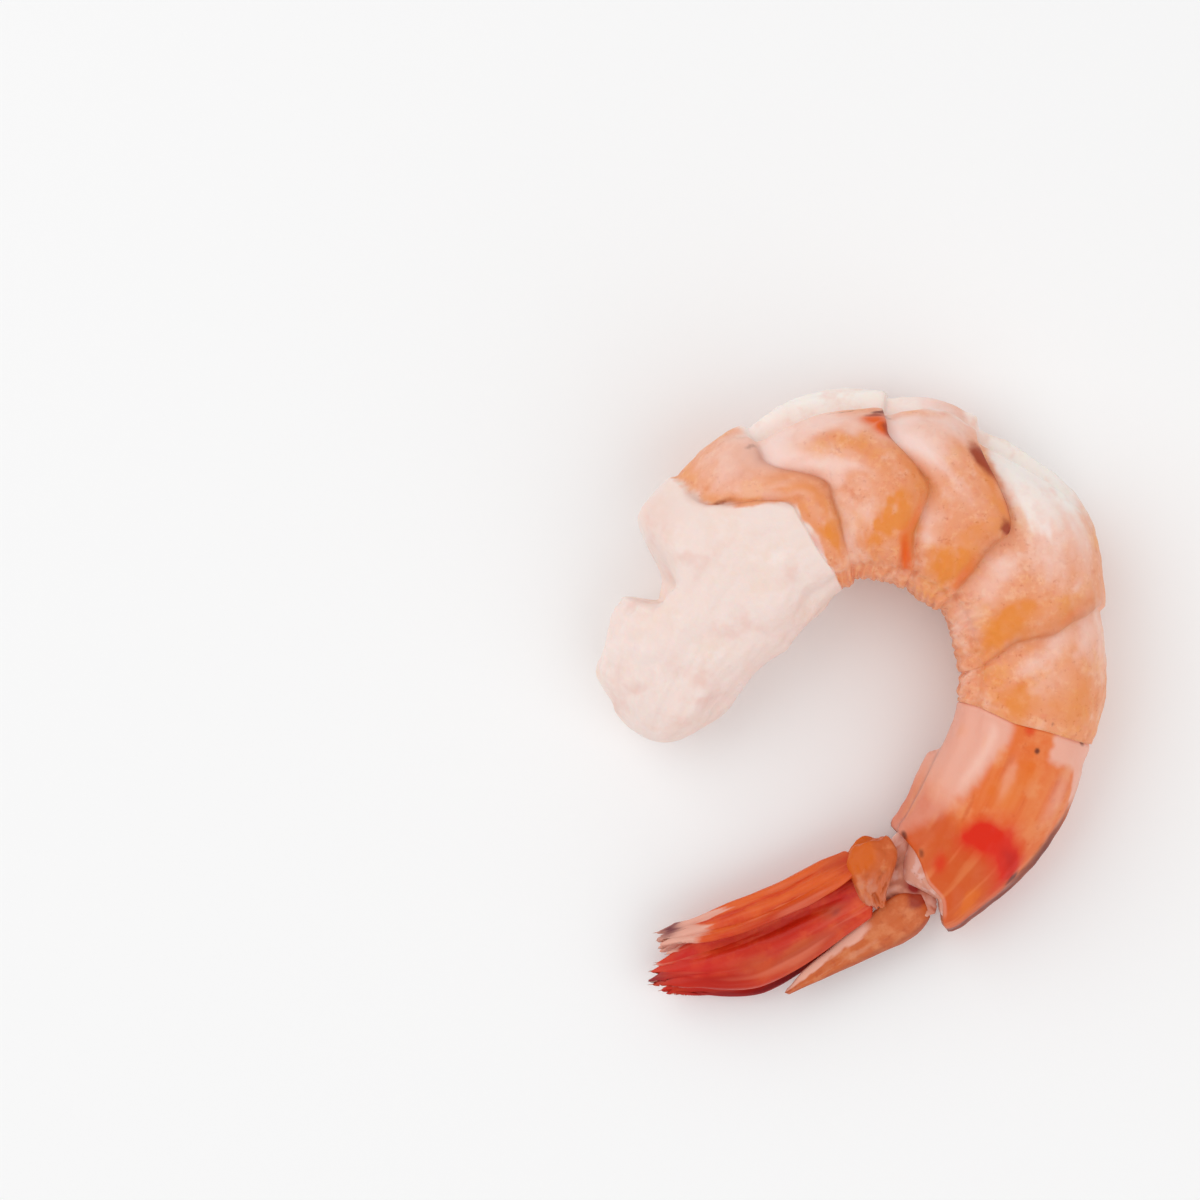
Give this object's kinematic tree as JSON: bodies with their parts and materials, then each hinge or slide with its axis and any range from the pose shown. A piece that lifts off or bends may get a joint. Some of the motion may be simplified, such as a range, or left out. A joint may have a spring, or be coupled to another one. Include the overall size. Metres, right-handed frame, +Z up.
{
  "type": "cooked peeled shrimp",
  "caption": "Curled cooked shrimp, peeled with the back cut open, lying on its side with its tail shell and folded tail fan left on.",
  "frame": {"origin": "middle of the bounding box's footprint, on the table", "axes": "+Z up through the left flank, +Y along the longest side towards the top of the curl, +X towards the tail side of the curl"},
  "size_m": [0.051, 0.061, 0.017],
  "materials": {
    "meat": "moist satin, white at the head end and salmon pink on the rings",
    "shell": "wet gloss, orange with a red patch",
    "fan": "wet gloss, red to orange with pale ridges",
    "telson": "wet gloss, orange-pink with a pale edge",
    "stub": "wet gloss, orange with whitish bumps"
  },
  "bodies": {
    "root": {"meat": "meat", "tail_shell": "shell", "left_exopod": "fan", "left_endopod": "fan", "right_endopod": "fan", "right_exopod": "fan", "telson": "telson", "left_protopod": "stub", "right_protopod": "stub"}
  },
  "joints": []
}
